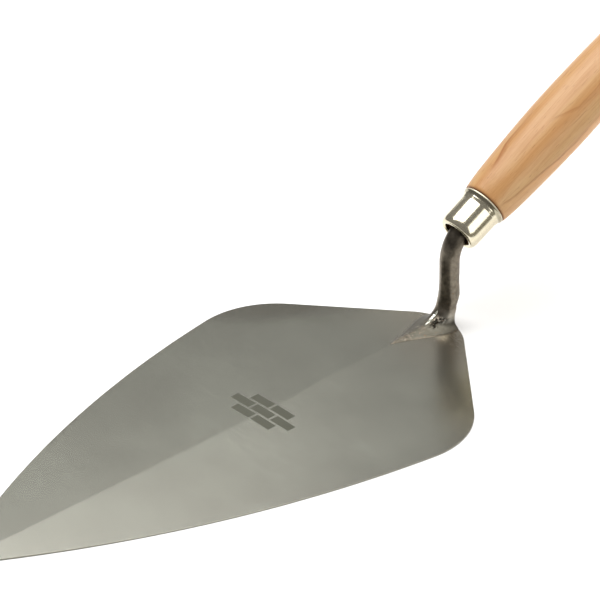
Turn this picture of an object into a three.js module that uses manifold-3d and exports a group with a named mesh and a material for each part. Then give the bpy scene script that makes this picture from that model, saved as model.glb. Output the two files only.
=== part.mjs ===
// Brick trowel: a ridged steel blade, a forged shank with its foot welded on the blade's heel,
// a steel ferrule and a turned wooden handle.
//
// Frame, in millimetres: +X to the toe of the blade, +Z up, Y = 0 the trowel's plane of symmetry.
// The origin lies on the flat sole, under the shank's foot.

import * as THREE from 'three';
import { ConvexGeometry } from 'three/addons/geometries/ConvexGeometry.js';
import { mergeVertices } from 'three/addons/utils/BufferGeometryUtils.js';
import Module from 'manifold-3d';

const wasm = await Module();
wasm.setup();

// ---------------------------------------------------------------- driving dimensions (mm, degrees)

const GAP = 0.3; // clearance between touching pieces

// Blade, in plan. Distances along the trowel are measured forward from a datum behind the heel.
const DATUM_X = -12;
const HEEL_START = 1.6; // the heel edge on the centre line
const BLADE_END = 279; // where the two long edges would meet
const HALF_WIDTH = 75.7; // half width where a long edge meets its heel edge, before rounding
const HEEL_SWEEP = 39.5; // angle of each heel edge, swept forward
const HEEL_NOSE_RADIUS = 26; // rounds the middle of the heel, between the swept edges
const CORNER_RADIUS = 39.4; // rounded heel corners
const TOE_RADIUS = 4; // rounded toe
const EDGE_BULGE = 0.684; // convexity of the long edges
const EDGE_BULGE_TOE = 0.13; // further convexity that fades towards the heel

// Blade, in section: two plane faces that meet on the ridge.
const RIDGE_HEIGHT = 2.2; // at the datum
const RIDGE_FALL = 0.0046; // per mm towards the toe
const FACE_FALL = 0.0165; // per mm away from the ridge

// Foot of the shank, a low wedge that tapers forward along the ridge.
const FOOT = { back: 2.2, shoulder: 5.2, middle: 13.4, tip: 32.2 };
const FOOT_HALF = { back: 7.2, shoulder: 9, middle: 7.2 }; // half widths at those distances
const FOOT_RIM = 0.3; // thickness at the foot's rim
const FOOT_TOP = [
  // distance, offset, height: ridge of the wedge, then its shoulders beside the neck
  [27.5, 0, 2.95],
  [16.5, 0, 4.1],
  [12, 3, 4.6],
  [3, 4, 4.6],
];

// Weld around the foot.
const WELD_WIDTH = 1.9;
const WELD_HEIGHT = 0.4;

// Neck of the shank, and the oval sections by which it spreads into the foot.
const NECK_OFFSET = 1.05; // its axis
const NECK_RADIUS = 4.45;
const NECK_SPREAD = [
  // height, back, front, half width
  [16, -3.7, 5.55, 4.75],
  [10, -2.2, 6.2, 4.75],
  [7.5, -1.3, 8, 4.9],
  [4.2, 0.3, 13.6, 5.6],
];
const BEND_RADIUS = 16;

// Handle axis: it rises backward from the mouth of the ferrule.
const HANDLE_RISE = 28.3;
const MOUTH = { x: DATUM_X - 3.33, z: 44 };

// Distances along the handle axis, from the mouth of the ferrule, and radii about it.
const FERRULE = { nose: -0.6, length: 18.1, mouthRadius: 6.6, bodyRadius: 9.5, rimRadius: 10.6, bore: 8.7 };
const SPIGOT_START = 5.2;
const TANG = { start: 3.4, end: 96, rootRadius: 4.3, tipRadius: 2.2 };
const BORE_END = 99;
const BUTT = { start: 142, radius: 14, end: 152 };
const GRIP = [
  // distance, radius: shoulder, swell, waist, butt
  [19.7, 11.1],
  [28, 11.95],
  [45, 12.87],
  [60, 13.45],
  [75, 13.65],
  [95, 13.38],
  [112, 12.85],
  [124, 12.8],
  [135, 13.55],
  [BUTT.start, BUTT.radius],
];

// ---------------------------------------------------------------- helpers

const radians = THREE.MathUtils.degToRad;

function solidOf(geometry) {
  const bare = geometry.clone();
  bare.deleteAttribute('normal');
  bare.deleteAttribute('uv');
  const merged = mergeVertices(bare, 1e-4);
  const vertProperties = new Float32Array(merged.attributes.position.array);
  const triVerts = new Uint32Array(merged.index.array);
  return new wasm.Manifold(new wasm.Mesh({ numProp: 3, vertProperties, triVerts }));
}

function geometryOf(solid) {
  const mesh = solid.getMesh();
  const geometry = new THREE.BufferGeometry();
  geometry.setAttribute('position', new THREE.BufferAttribute(mesh.vertProperties, 3));
  geometry.setIndex(new THREE.BufferAttribute(mesh.triVerts, 1));
  const faceted = geometry.toNonIndexed();
  faceted.computeVertexNormals();
  return faceted;
}

function hull(points) {
  return solidOf(new ConvexGeometry(points));
}

// A point given by its distance from the datum, its offset and its height above the sole.
function at(distance, y, z) {
  return new THREE.Vector3(DATUM_X + distance, y, z);
}

// A shape turned about the local Y axis, moved so that Y runs along the handle axis.
function alongHandle(geometry) {
  geometry.rotateX(Math.PI / 2);
  geometry.rotateY(-radians(90 - HANDLE_RISE));
  geometry.translate(MOUTH.x, 0, MOUTH.z);
  return geometry;
}

function turned(profile, segments) {
  return new THREE.LatheGeometry(profile, segments);
}

function piece(name, geometry, color, roughness, metalness) {
  const material = new THREE.MeshStandardMaterial({ color, roughness, metalness });
  const mesh = new THREE.Mesh(geometry, material);
  mesh.name = name;
  return mesh;
}

// ---------------------------------------------------------------- blade

function bladeTop(distance, y) {
  return RIDGE_HEIGHT - RIDGE_FALL * distance - FACE_FALL * Math.abs(y);
}

// The arc across the middle of the heel, up to where the swept edge leaves it.
function heelNose(steps) {
  const points = [];
  for (let i = 0; i <= steps; i += 1) {
    const angle = (radians(HEEL_SWEEP) * i) / steps;
    const distance = HEEL_START + HEEL_NOSE_RADIUS * (1 - Math.cos(angle));
    points.push(new THREE.Vector2(distance, HEEL_NOSE_RADIUS * Math.sin(angle)));
  }
  return points;
}

// One long edge as a curve: 0 at the heel corner, 1 at the toe.
function longEdge(t) {
  const noseEnd = heelNose(1)[1];
  const corner = noseEnd.x + (HALF_WIDTH - noseEnd.y) * Math.tan(radians(HEEL_SWEEP));
  const y = HALF_WIDTH * (1 - t) * (1 + EDGE_BULGE * t + EDGE_BULGE_TOE * t * t);
  return new THREE.Vector2(corner + (BLADE_END - corner) * t, y);
}

// Rounds the corner between two lines: an arc that touches both, as a list of points.
function roundedCorner(before, corner, after, radius, steps) {
  const toBefore = before.clone().sub(corner).normalize();
  const toAfter = after.clone().sub(corner).normalize();
  const half = Math.acos(toBefore.dot(toAfter)) / 2;
  const bisector = toBefore.clone().add(toAfter).normalize();
  const centre = corner.clone().addScaledVector(bisector, radius / Math.sin(half));
  const reach = radius / Math.tan(half);
  const first = corner.clone().addScaledVector(toBefore, reach).sub(centre);
  const last = corner.clone().addScaledVector(toAfter, reach).sub(centre);
  const sweep = Math.atan2(first.cross(last), first.dot(last));
  const points = [];
  for (let i = 0; i <= steps; i += 1) {
    points.push(first.clone().rotateAround(new THREE.Vector2(), (sweep * i) / steps).add(centre));
  }
  return points;
}

// Half of the outline, from the middle of the heel to the toe, with y positive.
function halfOutline() {
  const nose = heelNose(4);
  const corner = longEdge(0);
  const slope = longEdge(0.01).sub(corner).setLength(CORNER_RADIUS * 2).add(corner);
  const heelCorner = roundedCorner(nose[nose.length - 1], corner, slope, CORNER_RADIUS, 12);
  const arcEnd = heelCorner[heelCorner.length - 1].x;
  const beforeToe = longEdge(0.98);
  const afterToe = new THREE.Vector2(beforeToe.x, -beforeToe.y);
  const toeArc = roundedCorner(beforeToe, longEdge(1), afterToe, TOE_RADIUS, 6).slice(0, 4);
  const edge = new THREE.SplineCurve(Array.from({ length: 25 }, (_, i) => longEdge(i / 24)));
  const between = (point) => point.x > arcEnd + 2 && point.x < toeArc[0].x - 1;
  return [...nose, ...heelCorner, ...edge.getPoints(36).filter(between), ...toeArc];
}

function makeBlade() {
  const upper = halfOutline();
  const lower = upper.slice(1, -1).reverse().map((point) => new THREE.Vector2(point.x, -point.y));
  const outline = new THREE.Shape([...upper, ...lower]);
  const plate = new THREE.ExtrudeGeometry(outline, { depth: RIDGE_HEIGHT, bevelEnabled: false });
  plate.translate(DATUM_X, 0, 0);
  const beyond = 10;
  const roofCorners = [];
  for (const distance of [-beyond, BLADE_END + beyond]) {
    roofCorners.push(at(distance, 0, bladeTop(distance, 0)));
    for (const y of [-HALF_WIDTH - beyond, HALF_WIDTH + beyond]) {
      roofCorners.push(at(distance, y, -1), at(distance, y, bladeTop(distance, y)));
    }
  }
  const blade = solidOf(plate).intersect(hull(roofCorners));
  return piece('blade', geometryOf(blade), 0x9c9b8f, 0.42, 0.9);
}

// ---------------------------------------------------------------- foot and weld

// Outline of the foot in plan, grown outward, as [distance, half width] from back to tip.
function footOutline(grow) {
  return [
    [FOOT.back - grow, FOOT_HALF.back + grow],
    [FOOT.shoulder, FOOT_HALF.shoulder + grow * 1.2],
    [FOOT.middle, FOOT_HALF.middle + grow * 1.05],
    [FOOT.tip + grow * 2, 0],
  ];
}

// A wedge on the blade: its rim stands a given height above the blade's top face.
function wedge(grow, rim, top) {
  const points = [];
  for (const [distance, half] of footOutline(grow)) {
    for (const y of [-half, half]) {
      points.push(at(distance, y, bladeTop(distance, y) - 1));
      points.push(at(distance, y, bladeTop(distance, y) + GAP + rim));
    }
  }
  return hull([...points, ...top]);
}

// Everything below the blade's top face, raised by a clearance.
function underBlade(clearance) {
  const points = [];
  const reach = { back: -20, front: 60, side: 20, below: 5 };
  for (const distance of [reach.back, reach.front]) {
    for (const y of [-reach.side, 0, reach.side]) {
      points.push(at(distance, y, -reach.below), at(distance, y, bladeTop(distance, y) + clearance));
    }
  }
  return hull(points);
}

function makeFoot(grow) {
  const top = FOOT_TOP.flatMap(([distance, y, z]) => [
    at(distance, y, z + grow),
    at(distance, -y, z + grow),
  ]);
  return wedge(grow, FOOT_RIM, top);
}

// A low band round the foot that ends at the foot's shoulders.
function makeWeld() {
  const top = footOutline(0).slice(1).flatMap(([distance, half]) => [
    at(distance, half, bladeTop(distance, half) + GAP + WELD_HEIGHT),
    at(distance, -half, bladeTop(distance, half) + GAP + WELD_HEIGHT),
  ]);
  const outside = wedge(WELD_WIDTH + GAP, 0.1, top);
  const behindShoulder = new THREE.BoxGeometry(20, 60, 20);
  behindShoulder.translate(DATUM_X + FOOT.shoulder - 10, 0, 0);
  const weld = outside
    .subtract(makeFoot(GAP))
    .subtract(underBlade(GAP))
    .subtract(solidOf(behindShoulder));
  return piece('foot_weld', geometryOf(weld), 0x8d8a7c, 0.5, 0.85);
}

// ---------------------------------------------------------------- shank

// The neck spreads into the foot: a hull between each oval section and the next.
function neckSpread() {
  const ovals = NECK_SPREAD.map(([z, back, front, half]) => {
    const oval = [];
    for (let i = 0; i < 20; i += 1) {
      const angle = (2 * Math.PI * i) / 20;
      const distance = (front + back) / 2 + ((front - back) / 2) * Math.cos(angle);
      oval.push(at(distance, half * Math.sin(angle), z));
    }
    return oval;
  });
  const parts = ovals.slice(1).map((oval, i) => hull([...ovals[i], ...oval]));
  return parts.reduce((joined, part) => joined.add(part));
}

// The centre line of the neck: straight up, then a bend back onto the handle axis.
function neckPath() {
  const turn = radians(90 - HANDLE_RISE);
  const neckX = DATUM_X + NECK_OFFSET;
  const cornerZ = MOUTH.z - (neckX - MOUTH.x) * Math.tan(radians(HANDLE_RISE));
  const bendZ = cornerZ - BEND_RADIUS * Math.tan(turn / 2);
  const bend = [];
  const steps = 10;
  for (let i = 0; i <= steps; i += 1) {
    const angle = (turn * i) / steps;
    const x = neckX - BEND_RADIUS * (1 - Math.cos(angle));
    bend.push(new THREE.Vector3(x, 0, bendZ + BEND_RADIUS * Math.sin(angle)));
  }
  const path = new THREE.CurvePath();
  path.add(new THREE.LineCurve3(new THREE.Vector3(neckX, 0, NECK_SPREAD[0][0] - 1), bend[0]));
  path.add(new THREE.CatmullRomCurve3(bend));
  return path;
}

function makeShank() {
  const section = new THREE.Shape();
  section.absarc(0, 0, NECK_RADIUS, 0, 2 * Math.PI);
  const neck = new THREE.ExtrudeGeometry(section, {
    extrudePath: neckPath(),
    steps: 24,
    curveSegments: 12,
    bevelEnabled: false,
  });
  const tangProfile = [
    new THREE.Vector2(0, TANG.start),
    new THREE.Vector2(TANG.rootRadius, TANG.start),
    new THREE.Vector2(TANG.tipRadius, TANG.end - 1),
    new THREE.Vector2(TANG.tipRadius - 0.8, TANG.end),
    new THREE.Vector2(0, TANG.end),
  ];
  const tang = alongHandle(turned(tangProfile, 24));
  const shank = makeFoot(0)
    .subtract(underBlade(GAP))
    .add(neckSpread())
    .add(solidOf(neck))
    .add(solidOf(tang));
  return piece('shank', geometryOf(shank), 0x5b5348, 0.5, 0.85);
}

// ---------------------------------------------------------------- ferrule and handle

function makeFerrule() {
  const { nose, length, mouthRadius, bodyRadius, rimRadius, bore } = FERRULE;
  const profile = [
    // radius, distance: lip of the mouth, nose, body, flare, rim, then back through the bore
    [mouthRadius, nose + 0.9],
    [mouthRadius + 0.25, nose + 0.15],
    [mouthRadius + 0.7, nose],
    [bodyRadius - 1.6, nose],
    [bodyRadius - 0.65, nose + 0.75],
    [bodyRadius - 0.13, nose + 2.6],
    [bodyRadius, length - 10],
    [bodyRadius + 0.1, length - 4],
    [bodyRadius + 0.35, length - 2.5],
    [rimRadius - 0.3, length - 1.4],
    [rimRadius, length - 0.6],
    [rimRadius - 0.3, length],
    [rimRadius - 1.2, length - 0.5],
    [bore, length - 3.2],
    [bore, nose + 3],
    [bore - 0.4, nose + 2.3],
    [mouthRadius + 0.8, nose + 1.2],
  ];
  const points = profile.map(([radius, distance]) => new THREE.Vector2(radius, distance));
  points.push(points[0].clone());
  return piece('ferrule', alongHandle(turned(points, 48)), 0xd9d6cc, 0.12, 1);
}

function makeHandle() {
  const boreRoot = TANG.rootRadius + GAP + 0.2;
  const spigotRadius = FERRULE.bore - GAP;
  const shoulder = FERRULE.length + GAP;
  const profile = [
    new THREE.Vector2(0, BORE_END),
    new THREE.Vector2(TANG.tipRadius + GAP, BORE_END - 1),
    new THREE.Vector2(boreRoot, SPIGOT_START),
    new THREE.Vector2(spigotRadius - 0.5, SPIGOT_START),
    new THREE.Vector2(spigotRadius, SPIGOT_START + 0.5),
    new THREE.Vector2(spigotRadius, shoulder),
    new THREE.Vector2(GRIP[0][1] - 0.4, shoulder),
  ];
  const grip = new THREE.SplineCurve(GRIP.map(([distance, radius]) => new THREE.Vector2(radius, distance)));
  profile.push(...grip.getPoints(32));
  const domeSteps = 8;
  for (let i = 1; i <= domeSteps; i += 1) {
    const angle = (Math.PI / 2) * (i / domeSteps);
    const radius = i === domeSteps ? 0 : BUTT.radius * Math.cos(angle);
    const distance = BUTT.start + (BUTT.end - BUTT.start) * Math.sin(angle);
    profile.push(new THREE.Vector2(radius, distance));
  }
  return piece('handle', alongHandle(turned(profile, 40)), 0xd9a877, 0.45, 0);
}

// ---------------------------------------------------------------- assembly

const group = new THREE.Group();
group.add(makeBlade(), makeShank(), makeWeld(), makeFerrule(), makeHandle());

export default group;
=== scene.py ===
"""Brick trowel: satin ground blade, forged shank, weld, plated ferrule and lacquered wooden handle.

Shapes are worked out in millimetres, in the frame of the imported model: +X to the toe, +Z up out
of the sole, Y = 0 the plane of symmetry. mesh_piece() turns them into metres.
"""

import math

import bpy
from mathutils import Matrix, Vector, noise


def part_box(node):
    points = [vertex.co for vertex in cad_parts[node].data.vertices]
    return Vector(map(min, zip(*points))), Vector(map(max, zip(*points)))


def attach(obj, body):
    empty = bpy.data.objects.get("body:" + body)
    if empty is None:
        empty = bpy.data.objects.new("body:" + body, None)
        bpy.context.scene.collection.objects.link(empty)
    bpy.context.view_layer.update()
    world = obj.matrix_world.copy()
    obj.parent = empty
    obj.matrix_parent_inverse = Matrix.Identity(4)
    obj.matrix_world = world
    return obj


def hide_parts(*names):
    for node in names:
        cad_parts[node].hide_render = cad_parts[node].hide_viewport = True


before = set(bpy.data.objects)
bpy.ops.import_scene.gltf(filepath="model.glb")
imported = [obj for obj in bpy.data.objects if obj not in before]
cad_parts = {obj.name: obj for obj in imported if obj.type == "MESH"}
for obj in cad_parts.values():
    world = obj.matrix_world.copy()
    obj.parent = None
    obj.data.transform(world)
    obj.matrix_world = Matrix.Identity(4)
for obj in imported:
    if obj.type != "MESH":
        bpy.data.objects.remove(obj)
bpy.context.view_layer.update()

MM = 0.001

# ------------------------------------------------------------------ sizes, in millimetres

# Distances along the blade are measured forward from a datum behind the heel edge.
HEEL_START = 1.6
DATUM_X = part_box("blade")[0].x / MM - HEEL_START

# Blade
BLADE_END = 279.0
HALF_WIDTH = 75.7
HEEL_SWEEP = math.radians(39.5)
HEEL_NOSE_RADIUS = 26.0
CORNER_RADIUS = 39.4
TOE_RADIUS = 4.0
EDGE_BULGE = 0.684
EDGE_BULGE_TOE = 0.13
RIDGE_HEIGHT = 2.2
RIDGE_FALL = 0.0046
FACE_FALL = 0.0165

# Shank
NECK_OFFSET = 1.05
NECK_RADIUS = 4.45
BEND_RADIUS = 16.0
TANG_END = 96.0
TANG_ROOT_RADIUS = 4.3
TANG_TIP_RADIUS = 2.2

# Handle axis: it rises backward from the mouth of the ferrule.
HANDLE_RISE = math.radians(28.3)
MOUTH = Vector((DATUM_X - 3.33, 0, 44))
AXIS = Vector((-math.cos(HANDLE_RISE), 0, math.sin(HANDLE_RISE)))

FERRULE_LENGTH = 18.1
SPIGOT_START = 5.2
BORE_END = 99.0
BUTT_START = 142.0
BUTT_RADIUS = 14.0
BUTT_END = 152.0
GRIP = [
    (19.9, 11.1), (28, 11.95), (45, 12.87), (60, 13.45), (75, 13.65),
    (95, 13.38), (112, 12.85), (124, 12.8), (135, 13.55), (BUTT_START, BUTT_RADIUS),
]


# ------------------------------------------------------------------ mesh helpers

def mesh_piece(name, points, faces, sharp_angle=math.radians(35)):
    """A smooth-shaded mesh object from points in millimetres."""
    mesh = bpy.data.meshes.new(name)
    mesh.from_pydata([Vector(point) * MM for point in points], [], faces)
    mesh.validate()
    mesh.polygons.foreach_set("use_smooth", [True] * len(mesh.polygons))
    mesh.set_sharp_from_angle(angle=sharp_angle)
    piece = bpy.data.objects.new(name, mesh)
    bpy.context.scene.collection.objects.link(piece)
    return piece


def loft(name, rings, closed=False, **options):
    """Joins closed rings of equal point count. The ends are capped unless the rings form a loop."""
    count = len(rings[0])
    points = [point for ring in rings for point in ring]
    faces = []
    last = len(rings) if closed else len(rings) - 1
    for i in range(last):
        here = i * count
        there = ((i + 1) % len(rings)) * count
        for j in range(count):
            k = (j + 1) % count
            faces.append((here + j, here + k, there + k, there + j))
    if not closed:
        faces.append(tuple(range(count - 1, -1, -1)))
        faces.append(tuple(range(len(points) - count, len(points))))
    return mesh_piece(name, points, faces, **options)


def turned(name, profile, segments, **options):
    """A closed profile of (distance, radius) pairs turned about the handle axis.

    A profile that starts and ends on the axis is closed by its two poles.
    """
    across = Vector((0, 1, 0))
    up = AXIS.cross(across)
    on_axis = profile[0][1] == 0
    body = profile[1:-1] if on_axis else profile
    points = []
    for distance, radius in body:
        for j in range(segments):
            angle = 2 * math.pi * j / segments
            offset = across * math.cos(angle) + up * math.sin(angle)
            points.append(MOUTH + AXIS * distance + offset * radius)
    faces = []
    spans = len(body) - 1 if on_axis else len(body)
    for i in range(spans):
        here = i * segments
        there = ((i + 1) % len(body)) * segments
        for j in range(segments):
            k = (j + 1) % segments
            faces.append((here + j, there + j, there + k, here + k))
    if on_axis:
        for pole, ring, turn in ((profile[0], 0, 1), (profile[-1], len(body) - 1, -1)):
            points.append(MOUTH + AXIS * pole[0])
            for j in range(segments):
                pair = (ring * segments + j, ring * segments + (j + 1) % segments)
                faces.append((len(points) - 1, *pair[::turn]))
    return mesh_piece(name, points, faces, **options)


def smooth_path(knots, steps):
    """Catmull-Rom curve through knots, which are tuples of numbers."""
    knots = [tuple(knot) for knot in knots]
    ends = [knots[0], *knots, knots[-1]]
    path = []
    for i in range(len(knots) - 1):
        a, b, c, d = ends[i:i + 4]
        for step in range(steps):
            t = step / steps
            path.append(tuple(
                0.5 * (2 * q + (r - p) * t + (2 * p - 5 * q + 4 * r - s) * t * t
                       + (3 * q - p - 3 * r + s) * t ** 3)
                for p, q, r, s in zip(a, b, c, d)
            ))
    path.append(knots[-1])
    return path


def smoothstep(low, high, value):
    t = min(max((value - low) / (high - low), 0), 1)
    return t * t * (3 - 2 * t)


def wobble(x, y, z, size, seed=0.0):
    """Smooth noise between about -1 and 1 with features of a given size in millimetres."""
    return noise.noise(Vector((x / size + seed, y / size - seed, z / size + 0.37 * seed)))


# ------------------------------------------------------------------ blade

# The heel edge starts as an arc across the centre line and runs on straight at the sweep angle.
NOSE_END = HEEL_START + HEEL_NOSE_RADIUS * (1 - math.cos(HEEL_SWEEP))
NOSE_HALF = HEEL_NOSE_RADIUS * math.sin(HEEL_SWEEP)
CORNER_X = NOSE_END + (HALF_WIDTH - NOSE_HALF) * math.tan(HEEL_SWEEP)


def long_edge(distance):
    t = (distance - CORNER_X) / (BLADE_END - CORNER_X)
    return HALF_WIDTH * (1 - t) * (1 + EDGE_BULGE * t + EDGE_BULGE_TOE * t * t)


def corner_circle():
    """Centre of the circle that touches the swept heel edge and the long edge."""
    along = Vector((math.sin(HEEL_SWEEP), math.cos(HEEL_SWEEP)))
    inward = Vector((math.cos(HEEL_SWEEP), -math.sin(HEEL_SWEEP)))
    low, high = 20.0, 100.0
    for _ in range(40):
        reach = (low + high) / 2
        centre = Vector((NOSE_END, NOSE_HALF)) + along * reach + inward * CORNER_RADIUS
        gap = min(
            (Vector((x, long_edge(x))) - centre).length
            for x in (CORNER_X + 0.25 * i for i in range(240))
        )
        if gap > CORNER_RADIUS:
            low = reach
        else:
            high = reach
    return centre, (Vector((NOSE_END, NOSE_HALF)) + along * reach).x


CORNER_CENTRE, CORNER_START = corner_circle()
CORNER_END = min(
    (CORNER_X + 0.1 * i for i in range(600)),
    key=lambda x: (Vector((x, long_edge(x))) - CORNER_CENTRE).length,
)
TOE_SLOPE = math.atan(HALF_WIDTH * (1 + EDGE_BULGE + EDGE_BULGE_TOE) / (BLADE_END - CORNER_X))
TOE_CENTRE = BLADE_END - TOE_RADIUS / math.sin(TOE_SLOPE)
TOE_START = TOE_CENTRE + TOE_RADIUS * math.sin(TOE_SLOPE)
TOE_TIP = TOE_CENTRE + TOE_RADIUS


def half_width(distance):
    """Half width of the blade at a distance from the datum."""
    if distance < NOSE_END:
        return math.sqrt(HEEL_NOSE_RADIUS ** 2 - (HEEL_NOSE_RADIUS - distance + HEEL_START) ** 2)
    if distance < CORNER_START:
        return NOSE_HALF + (distance - NOSE_END) / math.tan(HEEL_SWEEP)
    if distance < CORNER_END:
        rise = CORNER_RADIUS ** 2 - (distance - CORNER_CENTRE.x) ** 2
        return CORNER_CENTRE.y + math.sqrt(rise)
    if distance < TOE_START:
        return long_edge(distance)
    return math.sqrt(max(TOE_RADIUS ** 2 - (distance - TOE_CENTRE) ** 2, 0))


# How far the ridge is ground off the centre line: distance, offset. The last lies beyond the toe.
RIDGE_KNOTS = [
    (0, -1.2), (20, -1.3), (45, -2.0), (62, -1.9), (76, -1.2),
    (100, 0.1), (140, 0.4), (230, 0.5), (290, 0.0),
]
RIDGE_PATH = smooth_path(RIDGE_KNOTS, 6)


def ridge_line(distance):
    """Offset of the ridge: a slow bow and the small wander of hand grinding."""
    offset = RIDGE_PATH[-1][1]
    for (s0, y0), (s1, y1) in zip(RIDGE_PATH, RIDGE_PATH[1:]):
        if distance < s1:
            offset = y0 + (y1 - y0) * (distance - s0) / (s1 - s0)
            break
    return offset + 0.16 * wobble(distance, 0, 0, 5.5) + 0.12 * wobble(distance, 0, 0, 17, 4.0)


def blade_top(distance, y):
    """Height of the blade's upper face above the sole."""
    aside = abs(y - ridge_line(distance))
    return RIDGE_HEIGHT - RIDGE_FALL * distance - FACE_FALL * aside


TOP_BREAK = 0.12
SOLE_BREAK = 0.3


def blade_ring(distance, inset=0.0):
    """One closed section of the blade. inset pulls the top and bottom in, for the end section."""
    width = half_width(distance) + 0.05 * wobble(distance, 3, 0, 9)
    top_steps = 44
    sole_steps = 8
    ring = []
    for j in range(-top_steps, top_steps + 1):
        share = abs(j / top_steps) ** 1.15
        y = math.copysign(share * (width - TOP_BREAK), j) + ridge_line(distance) * (1 - share)
        ring.append((y, blade_top(distance, y) - inset))
    edge = blade_top(distance, width) - inset
    # The broken edges, as steps in from the side and down from the top or up from the sole.
    right = [
        (width - 0.03, edge - 0.05), (width, edge - 0.2),
        (width, inset + 0.25), (width - 0.1, inset + 0.07),
    ]
    below = [(width - SOLE_BREAK) * (1 - k / sole_steps) for k in range(2 * sole_steps + 1)]
    ring += right
    ring += [(y, inset) for y in below]
    ring += [(-y, z) for y, z in reversed(right)]
    return [(DATUM_X + distance, y, z) for y, z in ring]


def blade_stations():
    """Distances of the blade's sections, close together where its outline curves."""
    nose_steps, body_steps, toe_steps = 20, 150, 9
    stations = [
        HEEL_START + HEEL_NOSE_RADIUS * (1 - math.cos(HEEL_SWEEP * i / nose_steps))
        for i in range(3, nose_steps + 1)
    ]
    stations += [NOSE_END + 1.5 * i for i in range(1, 24)]
    stations += [CORNER_START + (TOE_START - CORNER_START) * i / body_steps for i in range(body_steps + 1)]
    stations = sorted(station for station in stations if station <= TOE_START)
    least_step = 0.2
    kept = [stations[0]]
    for station in stations[1:]:
        if station - kept[-1] > least_step:
            kept.append(station)
    toe = [
        TOE_CENTRE + TOE_RADIUS * math.cos((math.pi / 2 - TOE_SLOPE) * (1 - i / toe_steps))
        for i in range(1, toe_steps)
    ]
    return kept + toe


def make_blade():
    stations = blade_stations()
    rings = [blade_ring((HEEL_START + stations[0]) / 2, inset=0.3)]
    rings += [blade_ring(station) for station in stations]
    piece = loft("blade_body", rings, sharp_angle=math.radians(20))
    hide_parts("blade")
    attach(piece, "root")
    piece.data.materials.append(blade_steel())
    return piece


# ------------------------------------------------------------------ shank

# Sections of the foot, from the blade's face up into the neck:
# front, back, half width, middle, pointedness, height at the front, the sides and the back.
FOOT_SECTIONS = [
    (33.2, 2.0, 9.2, 5.6, 1.00, 1.3, 1.2, 1.3),
    (32.3, 1.7, 8.95, 5.4, 1.00, 2.35, 2.3, 2.35),
    (27.0, 1.5, 8.0, 5.0, 0.95, 2.95, 2.85, 2.9),
    (21.5, 1.2, 6.9, 4.5, 0.85, 3.55, 3.5, 3.5),
    (16.5, 0.7, 6.0, 4.0, 0.65, 4.1, 4.3, 4.3),
    (13.0, 0.1, 5.45, 3.4, 0.40, 4.7, 5.3, 5.3),
    (10.2, -0.7, 5.1, 2.8, 0.20, 5.7, 6.7, 6.8),
    (7.8, -1.5, 4.85, 2.3, 0.08, 7.2, 8.7, 8.8),
    (6.2, -2.2, 4.75, 1.9, 0.00, 9.8, 11.0, 11.0),
    (5.6, -3.05, 4.85, 1.4, 0.00, 13.1, 13.6, 13.5),
    (5.55, -3.7, 4.75, 1.05, 0.00, 16.2, 16.0, 16.0),
]
FOOT_BULGE = 0.12
RING_POINTS = 72
# Distances of the tang's sections from the mouth of the ferrule, before its blunt end.
TANG_STATIONS = (6, 20, 45, 70, TANG_END - 1.5)


def foot_shift(distance, z):
    """The foot is welded on a little askew: it points to the far side of the ridge."""
    low = 1 - smoothstep(10, 19, z)
    return -low * (0.5 + 0.082 * min(max(distance - 4, 0), 26))


def foot_ring(front, back, half, middle, pointed, z_front, z_side, z_back):
    """One section of the foot: an oval, drawn out in front towards a point with bulging sides."""
    bulge_peak = 0.082
    ring = []
    for j in range(RING_POINTS):
        angle = 2 * math.pi * j / RING_POINTS
        c, s = math.cos(angle), math.sin(angle)
        if c >= 0:
            turn = 1 - min(angle, 2 * math.pi - angle) / (math.pi / 2)
            x = middle + (front - middle) * ((1 - pointed) * c + pointed * turn)
            swell = FOOT_BULGE * turn * (1 - turn) ** 4 / bulge_peak
            y = half * ((1 - pointed) * s + pointed * math.copysign(1 - turn + swell, s))
            z = z_side + (z_front - z_side) * c * c
        else:
            squareness = 1 - 0.35 * pointed
            x = middle - (middle - back) * abs(c) ** squareness
            y = half * math.copysign(abs(s) ** squareness, s)
            z = z_side + (z_back - z_side) * c * c
        ring.append(Vector((DATUM_X + x, y + foot_shift(x, z), z)))
    return ring


def neck_rings():
    """Round sections up the neck, round the bend and down the hidden tang."""
    turn = math.pi / 2 - HANDLE_RISE
    neck_x = DATUM_X + NECK_OFFSET
    corner_z = MOUTH.z - (neck_x - MOUTH.x) * math.tan(HANDLE_RISE)
    bend_z = corner_z - BEND_RADIUS * math.tan(turn / 2)
    stations = [
        (Vector((neck_x, 0, z)), 0.0, NECK_RADIUS + 0.16 * (1 - smoothstep(17, 22, z)))
        for z in (17.5, 19, 21, 23, 25, 27, 29, 31)
    ]
    for i in range(19):
        angle = turn * i / 18
        x = neck_x - BEND_RADIUS * (1 - math.cos(angle))
        stations.append((Vector((x, 0, bend_z + BEND_RADIUS * math.sin(angle))), angle, NECK_RADIUS))
    for distance in TANG_STATIONS:
        share = distance / TANG_END
        radius = TANG_ROOT_RADIUS + (TANG_TIP_RADIUS - TANG_ROOT_RADIUS) * share
        stations.append((MOUTH + AXIS * distance, turn, radius))
    stations.append((MOUTH + AXIS * TANG_END, turn, TANG_TIP_RADIUS * 0.55))
    rings = []
    for centre, lean, radius in stations:
        forward = Vector((math.cos(lean), 0, math.sin(lean)))
        rings.append([
            centre + radius * (forward * math.cos(a) + Vector((0, 1, 0)) * math.sin(a))
            for a in (2 * math.pi * j / RING_POINTS for j in range(RING_POINTS))
        ])
    return rings


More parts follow.
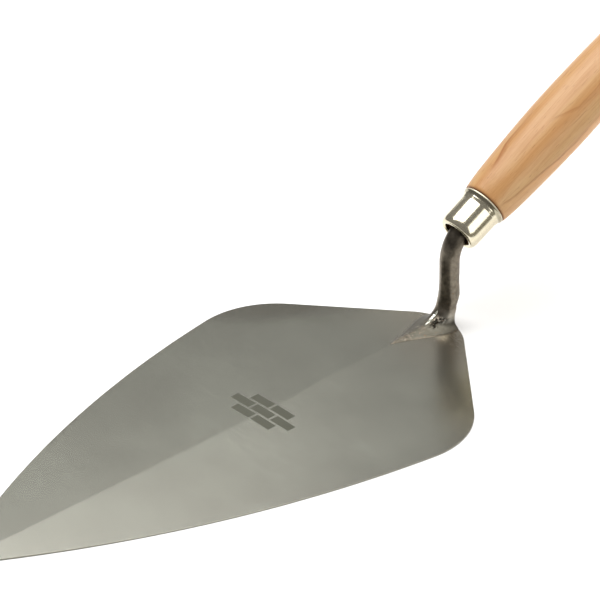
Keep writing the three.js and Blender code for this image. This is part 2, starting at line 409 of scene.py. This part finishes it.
def roughen(point):
    """Forging unevenness, strongest where the neck meets the foot."""
    x, y, z = point
    root = 1 - smoothstep(9, 19, z)
    amount = 0.05 + 0.1 * root * smoothstep(3.0, 6.0, z)
    shift = amount * wobble(x, y, z, 2.6, 1.7) + 0.09 * wobble(x, y, z, 9, 8.1)
    centre = Vector((DATUM_X + NECK_OFFSET + 3 * root, 0, z))
    outward = point - centre
    outward.z = 0
    if outward.length < 1e-6:
        return point
    return point + outward.normalized() * shift


def make_shank():
    foot = [foot_ring(*section) for section in smooth_path(FOOT_SECTIONS, 5)]
    rings = foot + neck_rings()
    # The tang stays smooth inside the handle.
    first_inside = len(rings) - len(TANG_STATIONS) - 1
    rings = [
        [roughen(point) for point in ring] if i < first_inside else ring
        for i, ring in enumerate(rings)
    ]
    piece = loft("shank_forging", rings, sharp_angle=math.radians(40))
    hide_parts("shank")
    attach(piece, "root")
    piece.data.materials.append(forged_steel())
    return piece


# ------------------------------------------------------------------ weld

def foot_outline(grow, steps):
    """Plan outline of the foot, from its back corner round the tip, as (distance, y) pairs."""
    half = [
        (2.2, 7.2), (3.4, 8.5), (5.2, 8.95), (9.0, 8.5),
        (13.4, 7.2), (19.0, 5.0), (24.0, 2.95), (28.5, 1.3),
    ]
    side = [(x + grow * 0.25, y + grow) for x, y in half]
    tip = [(32.2 + grow * 1.6, 0.0)]
    mirrored = [(x, -y) for x, y in reversed(side)]
    return [(x, y + foot_shift(x, 2.2)) for x, y in smooth_path(side + tip + mirrored, steps)]


def make_weld():
    """A low ground fillet between the foot's rim and the blade, open at the heel."""
    inner = foot_outline(-0.6, 10)
    middle = foot_outline(0.15, 10)
    outer = foot_outline(0.75, 10)
    rings = []
    for (xi, yi), (xm, ym), (xo, yo) in zip(inner, middle, outer):
        top_i, top_m, top_o = blade_top(xi, yi), blade_top(xm, ym), blade_top(xo, yo)
        bump = 0.03 * wobble(xm, ym, 0, 1.6, 5.0)
        rings.append([
            (DATUM_X + xi, yi, top_i - 0.1),
            (DATUM_X + xi, yi, top_i + 0.5 + bump),
            (DATUM_X + xm, ym, top_m + 0.2 + bump),
            (DATUM_X + (xm + xo) / 2, (ym + yo) / 2, (top_m + top_o) / 2 + 0.07 + bump),
            (DATUM_X + xo, yo, top_o + 0.005),
            (DATUM_X + xo, yo, top_o - 0.1),
        ])
    piece = loft("foot_weld_band", rings, sharp_angle=math.radians(60))
    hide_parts("foot_weld")
    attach(piece, "root")
    piece.data.materials.append(weld_metal())
    return piece


# The ragged bead that runs down from the neck onto the spine of the foot: distance, y, height, radius.
BEAD = [
    (6.3, -1.2, 8.8, 0.15), (7.2, -1.25, 7.8, 0.5), (8.6, -1.2, 6.8, 0.6), (10.2, -1.2, 5.85, 0.65),
    (11.8, -1.2, 5.15, 0.5), (13.0, -1.2, 4.75, 0.4), (14.2, -1.1, 4.4, 0.12),
]


def make_bead():
    around = 14
    rings = []
    for x, y, z, radius in smooth_path(BEAD, 8):
        ring = []
        for j in range(around):
            angle = 2 * math.pi * j / around
            lumpy = radius * (1 + 0.45 * wobble(x, 3 * math.cos(angle), 3 * math.sin(angle), 1.3, 2.0))
            along = -0.55 * lumpy * math.sin(angle)
            ring.append((
                DATUM_X + x - along, y + lumpy * math.cos(angle), z + 0.8 * lumpy * math.sin(angle),
            ))
        rings.append(ring)
    piece = loft("foot_weld_bead", rings, sharp_angle=math.radians(50))
    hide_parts("foot_weld")
    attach(piece, "root")
    piece.data.materials.append(bead_metal())
    return piece


# ------------------------------------------------------------------ ferrule and handle

FERRULE_BORE = 8.7
FERRULE_PROFILE = [
    # distance, radius: lip of the mouth, nose, body, flare, rim, then back through the bore
    (0.3, 6.55), (-0.15, 6.6), (-0.45, 6.85), (-0.6, 7.3), (-0.58, 7.9), (-0.32, 8.45),
    (0.15, 8.85), (0.9, 9.15), (2.0, 9.37), (3.6, 9.46), (8.0, 9.52), (13.4, 9.57),
    (14.2, 9.63), (14.9, 9.75), (15.3, 9.83), (15.65, 9.87), (16.1, 9.98), (16.65, 10.28),
    (17.05, 10.5), (17.45, 10.6), (17.8, 10.55), (18.02, 10.3), (18.0, 9.9), (17.6, 9.5), (16.6, 9.0),
    (15.0, 8.75), (9.0, FERRULE_BORE), (3.0, 8.6), (1.7, 8.3), (1.0, 7.9), (0.6, 7.4), (0.45, 6.9),
]


def make_ferrule():
    profile = smooth_path(FERRULE_PROFILE + FERRULE_PROFILE[:1], 4)[:-1]
    piece = turned("ferrule_shell", profile, 128, sharp_angle=math.radians(60))
    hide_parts("ferrule")
    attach(piece, "root")
    piece.data.materials.append(ferrule_plate())
    return piece


def make_handle():
    """The turned handle, with its spigot inside the ferrule and its bore round the tang."""
    gap = 0.3
    spigot = FERRULE_BORE - gap
    profile = [
        (BORE_END, 0), (BORE_END - 0.6, TANG_TIP_RADIUS), (BORE_END - 2, TANG_TIP_RADIUS + gap),
        (SPIGOT_START + 0.3, TANG_ROOT_RADIUS + 0.5), (SPIGOT_START, TANG_ROOT_RADIUS + 0.8),
        (SPIGOT_START, spigot - 0.5), (SPIGOT_START + 0.5, spigot), (14.8, spigot),
        (FERRULE_LENGTH, spigot + 0.1), (FERRULE_LENGTH + 0.25, spigot + 0.4),
        (FERRULE_LENGTH + 0.2, 9.6), (FERRULE_LENGTH + 0.25, 10.3),
        (FERRULE_LENGTH + 0.45, 10.65), (FERRULE_LENGTH + 0.8, 10.9),
    ]
    profile += smooth_path(GRIP, 10)
    steps = 16
    for i in range(1, steps + 1):
        angle = math.pi / 2 * i / steps
        radius = BUTT_RADIUS * math.cos(angle) if i < steps else 0
        profile.append((BUTT_START + (BUTT_END - BUTT_START) * math.sin(angle), radius))
    piece = turned("handle_grip", profile, 112, sharp_angle=math.radians(40))
    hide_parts("handle")
    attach(piece, "root")
    piece.data.materials.append(handle_wood())
    return piece


# ------------------------------------------------------------------ material helpers

def feed(tree, socket, value):
    """Gives an input socket a value, or links another socket to it."""
    if isinstance(value, bpy.types.NodeSocket):
        tree.links.new(value, socket)
    else:
        socket.default_value = value


def add_node(tree, kind, inputs=None, **settings):
    """A new node, with inputs given by name or index and settings by name."""
    made = tree.nodes.new(kind)
    for key, value in settings.items():
        setattr(made, key, value)
    for key, value in (inputs or {}).items():
        feed(tree, made.inputs[key], value)
    return made


class Shader:
    """Adds nodes to one material's tree."""

    def __init__(self, name):
        self.material = bpy.data.materials.new(name)
        self.material.use_nodes = True
        self.tree = self.material.node_tree
        self.surface = self.tree.nodes["Principled BSDF"]
        self.place = self.node("ShaderNodeTexCoord").outputs["Object"]

    def node(self, kind, inputs=None, **settings):
        return add_node(self.tree, kind, inputs, **settings)

    def surface_values(self, **values):
        """Sets inputs of the surface, which are named with underscores for spaces."""
        for key, value in values.items():
            feed(self.tree, self.surface.inputs[key.replace("_", " ")], value)

    def math(self, operation, a, b=0.0, c=0.0):
        return self.node("ShaderNodeMath", {0: a, 1: b, 2: c}, operation=operation).outputs[0]

    def scaled(self, vector, scale, turn=(0, 0, 0)):
        inputs = {"Vector": vector, "Scale": scale, "Rotation": turn}
        return self.node("ShaderNodeMapping", inputs).outputs[0]

    def cloud(self, vector, scale=1.0, detail=3.0, rough=0.5):
        inputs = {"Vector": vector, "Scale": scale, "Detail": detail, "Roughness": rough}
        return self.node("ShaderNodeTexNoise", inputs).outputs["Fac"]

    def spread(self, value, low, high, to_low=0.0, to_high=1.0, smooth=False):
        inputs = {"Value": value, "From Min": low, "From Max": high, "To Min": to_low, "To Max": to_high}
        kind = "SMOOTHSTEP" if smooth else "LINEAR"
        return self.node("ShaderNodeMapRange", inputs, interpolation_type=kind).outputs[0]

    def reach(self, place, low, high, to_low=0.0, to_high=1.0, smooth=False):
        """spread() over a stretch given in millimetres."""
        return self.spread(place, low * MM, high * MM, to_low, to_high, smooth)

    def blend(self, share, first, second):
        made = self.node("ShaderNodeMix", {0: share, 6: first, 7: second}, data_type="RGBA")
        return made.outputs[2]

    def axes(self, vector):
        split = self.node("ShaderNodeSeparateXYZ", {0: vector})
        return split.outputs[0], split.outputs[1], split.outputs[2]

    def bump(self, height, depth, strength=1.0, under=None):
        """Relief of a depth in millimetres."""
        inputs = {"Height": height, "Distance": depth * MM, "Strength": strength}
        if under is not None:
            inputs["Normal"] = under
        return self.node("ShaderNodeBump", inputs).outputs[0]


def rgb(red, green, blue):
    """A colour given as it looks on screen, from 0 to 255, turned linear."""
    def linear(value):
        share = value / 255
        return share / 12.92 if share <= 0.04045 else ((share + 0.055) / 1.055) ** 2.4
    return (linear(red), linear(green), linear(blue), 1.0)


# ------------------------------------------------------------------ materials

EMBLEM_DISTANCE = 110.0
BRICK_LENGTH = 12.5
COURSE = 5.6
JOINT = 1.1


def brick_emblem(shader, x, y):
    """Mask of a plain brick-bond emblem across the ridge: courses of two, three and two bricks."""
    courses = 3
    start = (DATUM_X + EMBLEM_DISTANCE - courses / 2 * COURSE) * MM
    course = shader.math("DIVIDE", shader.math("SUBTRACT", x, start), COURSE * MM)
    row = shader.math("FLOOR", course)
    odd = shader.math("COMPARE", row, 1.0, 0.1)
    across = shader.math("DIVIDE", y, BRICK_LENGTH * MM)
    reach = shader.math("MULTIPLY_ADD", odd, 0.5, 1.0)
    inside = shader.math("LESS_THAN", shader.math("ABSOLUTE", across), reach)
    inside = shader.math("MULTIPLY", inside, shader.math("COMPARE", row, 1.0, 1.1))
    shifted = shader.math("MULTIPLY_ADD", odd, 0.5, across)

    def gap(position, pitch):
        middle = shader.math("ABSOLUTE", shader.math("SUBTRACT", shader.math("FRACT", position), 0.5))
        edge = 0.5 - JOINT / 2 / pitch
        return shader.spread(middle, edge - 0.15 / pitch, edge + 0.15 / pitch, 1.0, 0.0)

    brick = shader.math("MULTIPLY", gap(shifted, BRICK_LENGTH), gap(course, COURSE))
    return shader.math("MULTIPLY", brick, inside)


def heel_painted_shade(shader, x, y, wander):
    """Mask of painted shade: a darker strip along each swept heel edge, out to the rounded corners."""
    outward = shader.math("ABSOLUTE", y)
    forward = shader.math("MULTIPLY", x, math.cos(HEEL_SWEEP))
    aside = shader.math("MULTIPLY", outward, math.sin(HEEL_SWEEP))
    edge = (DATUM_X + NOSE_END) * MM * math.cos(HEEL_SWEEP) - NOSE_HALF * MM * math.sin(HEEL_SWEEP)
    from_edge = shader.math("SUBTRACT", shader.math("SUBTRACT", forward, aside), edge)
    strip = shader.reach(shader.math("ADD", from_edge, wander), 4, 24, 0.85, 0.0, smooth=True)
    return shader.math("MULTIPLY", strip, shader.reach(outward, 22, 50))


def blade_steel():
    shader = Shader("blade_steel")
    x, y, z = shader.axes(shader.place)
    clouds = shader.cloud(shader.place, scale=14, detail=4)
    # Fine scratches of the last grinding, across each half of the blade.
    lines = shader.scaled(shader.place, (9000, 260, 1), turn=(0, 0, math.radians(12)))
    scratches = shader.cloud(lines, scale=1, detail=2, rough=0.6)
    other_lines = shader.scaled(shader.place, (700, 60, 1), turn=(0, 0, math.radians(-16)))
    streaks = shader.cloud(other_lines, scale=1, detail=3)
    steel = shader.blend(shader.spread(clouds, 0.35, 0.65), rgb(176, 175, 163), rgb(190, 190, 177))
    steel = shader.blend(shader.spread(streaks, 0.3, 0.7, 0, 0.2), steel, rgb(160, 158, 147))
    # Brown heat tint that fades forward from the heel.
    wander = shader.math("MULTIPLY_ADD", clouds, 30 * MM, -15 * MM)
    from_heel = shader.math("ADD", x, wander)
    tint = shader.reach(from_heel, -12, 35, 0.45, 0.0, smooth=True)
    steel = shader.blend(tint, steel, rgb(164, 146, 126))
    # Painted shade along the swept heel edges.
    steel = shader.blend(heel_painted_shade(shader, x, y, wander), steel, rgb(149, 146, 134))
    # A little darker towards the toe.
    toe = shader.reach(x, 150, 250, 0.0, 0.6, smooth=True)
    steel = shader.blend(toe, steel, rgb(168, 167, 156))
    etched = brick_emblem(shader, x, y)
    steel = shader.blend(etched, steel, rgb(104, 104, 92))
    # The cut edges are duller than the ground faces, and their colour is darkened as painted shade.
    facing_up = shader.axes(shader.node("ShaderNodeTexCoord").outputs["Normal"])[2]
    dull_edge_and_shade = shader.spread(shader.math("ABSOLUTE", facing_up), 0.8, 0.97, 0.85, 0.0)
    steel = shader.blend(dull_edge_and_shade, steel, rgb(128, 126, 114))
    rough = shader.spread(scratches, 0.3, 0.7, 0.19, 0.24)
    rough = shader.math("MULTIPLY_ADD", dull_edge_and_shade, 0.2, rough)
    rough = shader.math("MULTIPLY_ADD", etched, 0.16, rough)
    worn = shader.reach(from_heel, -12, 30, 0.05, 0.0, smooth=True)
    rough = shader.math("ADD", rough, worn)
    height = shader.math("MULTIPLY_ADD", streaks, 0.25, scratches)
    shader.surface_values(
        Base_Color=steel, Metallic=1.0, Roughness=rough,
        Normal=shader.bump(height, 0.01, 0.4),
    )
    return shader.material


# Height of the ragged line between ground steel and forging scale.
SCALE_LINE = 5.4


def root_crevice_and_shade(shader, x, y, level):
    """Mask of the crevice that the ragged line makes beside the spine of the foot: painted shade in the
    colour, a dent in the relief.
    """
    off_line = shader.math("ABSOLUTE", shader.math("SUBTRACT", level, SCALE_LINE * MM))
    crevice_and_shade = shader.reach(off_line, 0.1, 1.0, 1.0, 0.0)
    beside_spine = shader.math("MULTIPLY", shader.reach(y, -1, 0.5), shader.reach(y, 3, 4.5, 1.0, 0.0))
    near_neck = shader.reach(x, DATUM_X + 11.5, DATUM_X + 14, 1.0, 0.0)
    return shader.math("MULTIPLY", crevice_and_shade, shader.math("MULTIPLY", beside_spine, near_neck))


def forged_steel():
    shader = Shader("forged_steel")
    x, y, z = shader.axes(shader.place)
    patches = shader.cloud(shader.place, scale=420, detail=5, rough=0.6)
    grain = shader.cloud(shader.place, scale=2600, detail=3)
    scale = shader.blend(shader.spread(patches, 0.35, 0.7), rgb(104, 97, 86), rgb(140, 131, 117))
    ground = shader.blend(shader.spread(patches, 0.35, 0.65), rgb(90, 86, 76), rgb(105, 102, 92))
    # Above a ragged line the forging scale is left; below it the foot is ground.
    tears = shader.cloud(shader.place, scale=700, detail=4)
    ragged = shader.math("MULTIPLY_ADD", tears, 6 * MM, -3 * MM)
    slant = shader.math("MULTIPLY", shader.math("SUBTRACT", x, (DATUM_X + 9) * MM), 0.16)
    level = shader.math("ADD", shader.math("ADD", z, ragged), slant)
    scaled = shader.reach(level, SCALE_LINE - 0.2, SCALE_LINE + 0.4)
    colour = shader.blend(scaled, ground, scale)
    # A painted highlight: the near side of the root of the neck is lightened.
    painted_highlight_at_root = shader.math("MULTIPLY", shader.reach(z, 4.5, 6), shader.reach(z, 7.5, 10.5, 0.4, 0.0))
    painted_highlight_at_root = shader.math("MULTIPLY", painted_highlight_at_root, shader.reach(y, 1.2, 2.8))
    colour = shader.blend(painted_highlight_at_root, colour, rgb(200, 195, 182))
    crevice_and_shade = root_crevice_and_shade(shader, x, y, level)
    # Painted shade in the crevice beside the spine.
    colour = shader.blend(crevice_and_shade, colour, rgb(30, 27, 22))
    # Painted shade under the mouth of the ferrule: the neck is darkened towards it.
    painted_shade_under_mouth = shader.reach(z, 37, 43, 0.0, 0.4, smooth=True)
    colour = shader.blend(painted_shade_under_mouth, colour, rgb(48, 42, 34))
    rust = shader.spread(shader.cloud(shader.place, scale=900, detail=2), 0.68, 0.74)
    colour = shader.blend(shader.math("MULTIPLY", rust, 0.5), colour, rgb(134, 92, 58))
    rough = shader.spread(patches, 0.3, 0.7, 0.32, 0.42)
    rough = shader.math("ADD", rough, shader.spread(scaled, 0.0, 1.0, 0.12, 0.0))
    relief = shader.bump(patches, 0.1, 0.5, shader.bump(grain, 0.02, 0.4))
    relief = shader.bump(crevice_and_shade, 0.4, 0.8, relief)
    relief.node.invert = True
    shader.surface_values(Base_Color=colour, Metallic=1.0, Roughness=rough, Normal=relief)
    return shader.material


def weld_metal():
    shader = Shader("weld_metal")
    pits = shader.cloud(shader.place, scale=1500, detail=4, rough=0.65)
    colour = shader.blend(shader.spread(pits, 0.35, 0.6), rgb(84, 78, 67), rgb(112, 106, 94))
    rough = shader.spread(pits, 0.3, 0.7, 0.4, 0.28)
    shader.surface_values(
        Base_Color=colour, Metallic=1.0, Roughness=rough, Normal=shader.bump(pits, 0.04, 0.4),
    )
    return shader.material


def bead_metal():
    shader = Shader("bead_metal")
    pits = shader.cloud(shader.place, scale=1200, detail=3, rough=0.6)
    colour = shader.blend(shader.spread(pits, 0.38, 0.55), rgb(150, 150, 136), rgb(228, 228, 214))
    shader.surface_values(
        Base_Color=colour, Metallic=1.0, Roughness=0.3, Normal=shader.bump(pits, 0.2, 0.7),
    )
    return shader.material


def handle_place(shader):
    """Coordinates with Z along the handle, from the mouth of the ferrule, and X to its upper side."""
    inputs = {0: shader.place, 1: tuple(MOUTH * MM)}
    moved = shader.node("ShaderNodeVectorMath", inputs, operation="SUBTRACT")
    return shader.scaled(moved.outputs[0], (1, 1, 1), turn=(0, math.pi / 2 - HANDLE_RISE, 0))


def ferrule_plate():
    shader = Shader("ferrule_plate")
    along = shader.axes(handle_place(shader))[2]
    # The rim is a rolled edge, duller than the rest.
    rim = shader.reach(along, FERRULE_LENGTH - 1.0, FERRULE_LENGTH - 0.7)
    dust = shader.cloud(shader.place, scale=900, detail=4)
    colour = shader.blend(shader.spread(dust, 0.35, 0.65), rgb(218, 209, 184), rgb(228, 220, 196))
    # Painted shade: a dark band in the hollow of the flare, fading out on the rim.
    hollow = shader.reach(along, 15.3, 16.2)
    flare_painted_shade = shader.math("MULTIPLY", hollow, shader.spread(rim, 0.0, 1.0, 0.65, 0.0))
    colour = shader.blend(flare_painted_shade, colour, rgb(132, 126, 106))
    rough = shader.spread(dust, 0.3, 0.7, 0.14, 0.18)
    rough = shader.math("MULTIPLY_ADD", rim, 0.3, rough)
    waves = shader.cloud(shader.place, scale=260, detail=2)
    shader.surface_values(
        Base_Color=colour, Metallic=shader.spread(rim, 0.0, 1.0, 0.95, 0.75), Roughness=rough,
        Normal=shader.bump(waves, 0.06, 0.3),
    )
    return shader.material


# The figured side of the handle, as an angle about its axis from the plane of symmetry.
FIGURED_SIDE = math.radians(41)
# Below this growth line the wood is lightened as painted bounce light from the floor: start and end as
# (distance, degrees).
GRAIN_LINE_ABOVE_PAINTED_LIGHT = ((20, -31), (54, -54))
# Growth lines on that side: start and end as above, width in degrees, length of fading, strength.
VEINS = [
    ((30, 43), (43, 58), 12, 26, 0.95),
    (*GRAIN_LINE_ABOVE_PAINTED_LIGHT, 5, 24, 0.55),
    ((64, 14), (76, -5), 6, 40, 0.5),
    ((36, 12), (42, 12), 3, 3, 0.3),
    ((26, 22), (90, 6), 2.5, 20, 0.18),
    ((24, -8), (80, -22), 3, 30, 0.25),
]


def beyond_line(shader, along, angle, start, end):
    """How far a point lies below a line from start to end, as an angle about the handle."""
    path = shader.reach(along, start[0], end[0], math.radians(start[1]), math.radians(end[1]))
    return shader.math("SUBTRACT", path, angle)


def vein(shader, along, angle, start, end, width, fading):
    """Mask of one growth line, crisp on one side and fading on the other and past its end."""
    aside = beyond_line(shader, along, angle, start, end)
    crisp = shader.spread(aside, math.radians(-0.3 * width), 0.0)
    soft = shader.spread(aside, 0.0, math.radians(width), 1.0, 0.0)
    begun = shader.reach(along, start[0] - 2, start[0] + 4)
    going = shader.reach(along, end[0], end[0] + fading, 1.0, 0.0)
    line = shader.math("MULTIPLY", crisp, soft)
    return shader.math("MULTIPLY", line, shader.math("MULTIPLY", begun, going))


def handle_wood():
    shader = Shader("handle_wood")
    # Turned so that X points out through the figured side.
    local = shader.scaled(handle_place(shader), (1, 1, 1), turn=(0, 0, -FIGURED_SIDE))
    u, v, along = shader.axes(local)
    bend = shader.cloud(shader.scaled(local, (60, 60, 30)), detail=3)
    angle = shader.math("ARCTAN2", shader.math("MULTIPLY", v, -1.0), u)
    angle = shader.math("ADD", angle, shader.math("MULTIPLY_ADD", bend, 0.5, -0.25))
    broad = shader.cloud(shader.scaled(local, (150, 150, 9)), detail=3, rough=0.55)
    mottle = shader.cloud(shader.scaled(local, (210, 210, 60)), detail=4, rough=0.6)
    fibre = shader.cloud(shader.scaled(local, (1500, 1500, 40)), detail=3, rough=0.6)
    pores = shader.cloud(shader.scaled(local, (2600, 2600, 170)), detail=1)
    pale, tan, brown = rgb(207, 167, 116), rgb(190, 141, 88), rgb(158, 101, 52)
    colour = shader.blend(shader.spread(broad, 0.36, 0.64), pale, tan)
    colour = shader.blend(shader.spread(mottle, 0.4, 0.7, 0, 0.35), colour, rgb(200, 146, 96))
    # Painted bounce light from the floor, on the wood below that growth line.
    painted_bounce_light = shader.spread(beyond_line(shader, along, angle, *GRAIN_LINE_ABOVE_PAINTED_LIGHT), 0.0, 0.1, 0.0, 0.6)
    painted_bounce_light = shader.math("MULTIPLY", painted_bounce_light, shader.reach(along, 28, 56, 0.25, 1.0))
    colour = shader.blend(painted_bounce_light, colour, rgb(230, 172, 114))
    for start, end, width, fading, strength in VEINS:
        line = vein(shader, along, angle, start, end, width, fading)
        colour = shader.blend(shader.math("MULTIPLY", line, strength), colour, brown)
    colour = shader.blend(shader.spread(fibre, 0.4, 0.75, 0, 0.3), colour, brown)
    colour = shader.blend(shader.spread(pores, 0.66, 0.74, 0, 0.45), colour, rgb(140, 88, 48))
    # The wood is darker on the turned shoulder beside the ferrule.
    shoulder = shader.reach(along, FERRULE_LENGTH + 0.3, FERRULE_LENGTH + 1.0, 0.8, 0.0)
    colour = shader.blend(shoulder, colour, rgb(134, 80, 38))
    height = shader.math("ADD", fibre, shader.math("MULTIPLY", pores, -0.6))
    rough = shader.spread(fibre, 0.3, 0.7, 0.42, 0.55)
    shader.surface_values(
        Base_Color=colour, Roughness=rough, Specular_IOR_Level=0.35, Coat_Weight=0.25, Coat_Roughness=0.28,
        Normal=shader.bump(height, 0.03, 0.35),
    )
    return shader.material


# ------------------------------------------------------------------ stage, light and camera

# Where the painted dark reflection starts on the floor, towards the camera, in millimetres.
PAINTED_REFLECTION_EDGE = 105


def make_floor():
    half = 6000
    corners = [(-half, -half, 0), (half, -half, 0), (half, half, 0), (-half, half, 0)]
    floor = mesh_piece("studio_floor", corners, [(0, 1, 2, 3)])
    shader = Shader("studio_floor")
    # Beyond this edge the floor is painted dark for reflections only, a painted reflection; the camera
    # sees it pale.
    across = shader.axes(shader.place)[1]
    reflected = shader.node("ShaderNodeLightPath").outputs["Is Glossy Ray"]
    dark = shader.math("MULTIPLY", shader.reach(across, PAINTED_REFLECTION_EDGE, PAINTED_REFLECTION_EDGE + 30), reflected)
    floor_colour_and_reflection = shader.blend(dark, (0.98, 0.98, 0.97, 1), (0.14, 0.13, 0.1, 1))
    shader.surface_values(Base_Color=floor_colour_and_reflection, Roughness=0.9)
    floor.data.materials.append(shader.material)


def towards(azimuth, elevation):
    """Unit vector for an azimuth from +X and an elevation, in degrees."""
    a, e = math.radians(azimuth), math.radians(elevation)
    return Vector((math.cos(e) * math.cos(a), math.cos(e) * math.sin(a), math.sin(e)))


def make_softbox(name, azimuth, elevation, distance, width, height, radiance):
    """A rectangular lamp that faces the origin and that the camera does not see."""
    light = bpy.data.lights.new(name, "AREA")
    light.shape = "RECTANGLE"
    light.size = width
    light.size_y = height
    light.energy = radiance * math.pi * width * height
    box = bpy.data.objects.new(name, light)
    direction = towards(azimuth, elevation)
    box.location = direction * distance
    box.rotation_mode = "QUATERNION"
    box.rotation_quaternion = direction.to_track_quat("Z", "Y")
    box.visible_camera = False
    bpy.context.scene.collection.objects.link(box)


WORLD_STRENGTH = 0.2


def make_world():
    """Pale surroundings: white to the camera, dimmer as a light."""
    world = bpy.data.worlds.new("studio")
    world.use_nodes = True
    bpy.context.scene.world = world
    tree = world.node_tree
    tree.nodes.clear()
    seen = add_node(tree, "ShaderNodeLightPath").outputs["Is Camera Ray"]
    strengths = {0: seen, 2: WORLD_STRENGTH, 3: 1.0}
    strength = add_node(tree, "ShaderNodeMix", strengths, data_type="FLOAT").outputs[0]
    light = add_node(tree, "ShaderNodeBackground", {"Color": (1, 0.99, 0.97, 1), "Strength": strength})
    add_node(tree, "ShaderNodeOutputWorld", {0: light.outputs[0]})


CAMERA_TARGET = Vector((35.3, -58.8, 0)) * MM + Vector((DATUM_X * MM, 0, 0))
CAMERA_AZIMUTH = 47.73
CAMERA_ELEVATION = 31.25
CAMERA_DISTANCE = 2.132
CAMERA_LENS = 290.2


def make_camera():
    data = bpy.data.cameras.new("camera")
    data.sensor_width = 36
    data.lens = CAMERA_LENS
    data.clip_start = 0.05
    data.clip_end = 30
    camera = bpy.data.objects.new("camera", data)
    back = towards(CAMERA_AZIMUTH, CAMERA_ELEVATION)
    camera.location = CAMERA_TARGET + back * CAMERA_DISTANCE
    camera.rotation_mode = "QUATERNION"
    camera.rotation_quaternion = back.to_track_quat("Z", "Y")
    bpy.context.scene.collection.objects.link(camera)
    bpy.context.scene.camera = camera


# Panels that stand round the trowel: left and right azimuth, low and high elevation,
# horizontal distance in metres, brightness.
PANELS = {
    "key": (-120, -98, 46, 54, 0.9, 7.6),
    "key_skirt": (-132, -98, 40, 46, 0.9, 1.2),
    "wall": (-144, -98, 34, 40, 0.9, 0.35),
    "wall_foot": (-172, -100, 16, 22, 0.7, 1.5),
    "backdrop": (-172, -105, 0, 16, 0.9, 0.9),
    "side": (86, 111, 0, 40, 1.5, 1.9),
    "butt_fill": (150, 200, 38, 52, 1.6, 2.5),
}


def make_light():
    make_softbox(
        "overhead", azimuth=-80, elevation=81, distance=1.9, width=1.25, height=2.04, radiance=5.8,
    )
    for name, (left, right, low, high, reach, radiance) in PANELS.items():
        elevation = (low + high) / 2
        distance = reach / math.cos(math.radians(elevation))
        width = reach * math.radians(right - left)
        height = distance * math.radians(high - low)
        make_softbox(name, (left + right) / 2, elevation, distance, width, height, radiance)


bpy.context.scene.view_settings.view_transform = "Standard"
make_camera()
make_world()
make_light()
make_floor()
make_blade()
make_shank()
make_weld()
make_bead()
make_ferrule()
make_handle()
